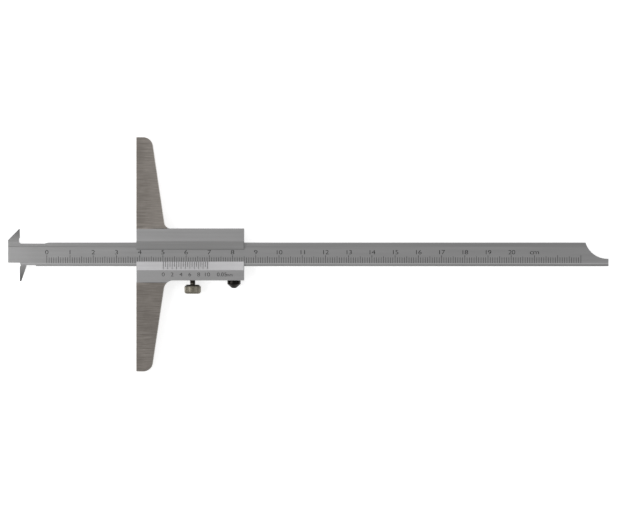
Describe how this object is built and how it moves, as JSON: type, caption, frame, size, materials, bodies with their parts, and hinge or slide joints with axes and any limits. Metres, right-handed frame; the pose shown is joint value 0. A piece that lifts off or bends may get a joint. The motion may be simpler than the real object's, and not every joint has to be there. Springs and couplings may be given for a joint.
{
  "type": "depth gauge",
  "caption": "Vernier depth gauge with a double hook: a flat graduated beam with a narrow tail slides through a clamped slide on a ground bridge.",
  "frame": {"origin": "under the middle of the gauge's length and of its bridge, on the surface that its back lies on", "axes": "+X along the beam from the double hook to the narrow tail, +Y along the bridge to the upper arm, +Z out of the graduated face"},
  "size_m": [0.2586, 0.1008, 0.0076],
  "materials": {
    "satin_chrome": "satin",
    "ground_steel": "ground along the beam",
    "bright_steel": "ground",
    "dark_steel": "blackened",
    "spring_steel": "blued",
    "brass": "machined",
    "nickel_plate": "nickel plated, straight knurl",
    "black_oxide": "glossy black"
  },
  "bodies": {
    "slide": {"slide_body": "satin_chrome", "bridge": "ground_steel", "bridge_screw_upper": "dark_steel", "bridge_screw_lower": "dark_steel", "bridge_dowel_upper": "bright_steel", "bridge_dowel_lower": "bright_steel", "gib_strip": "brass", "gib_spring_left": "spring_steel", "gib_spring_right": "spring_steel", "gib_set_screw_left": "dark_steel", "gib_set_screw_right": "dark_steel", "gib_pin_left": "bright_steel", "gib_pin_right": "bright_steel", "thumb_stud": "black_oxide"},
    "beam": {"beam": "satin_chrome"},
    "clamp_pad": {"clamp_pad": "brass"},
    "lock_screw": {"lock_screw": "nickel_plate"}
  },
  "joints": [
    {"name": "beam_slide", "type": "slide", "parent": "slide", "child": "beam", "axis": [1, 0, 0], "range_m": [-0.14975, 0.05025]},
    {"name": "clamp_pad_travel", "type": "slide", "parent": "slide", "child": "clamp_pad", "axis": [0, 1, 0], "range_m": [-0.00135, 0.00009]},
    {"name": "lock_screw_turn", "type": "hinge", "parent": "clamp_pad", "child": "lock_screw", "pos_m": [-0.0498, -0.0112, 0.0038], "axis": [0, 1, 0], "range_deg": [-1080.1, 72.1]}
  ],
  "couplings": [
    {"joint": "lock_screw_turn", "follows": "clamp_pad_travel", "rad_per_m": 13963}
  ]
}
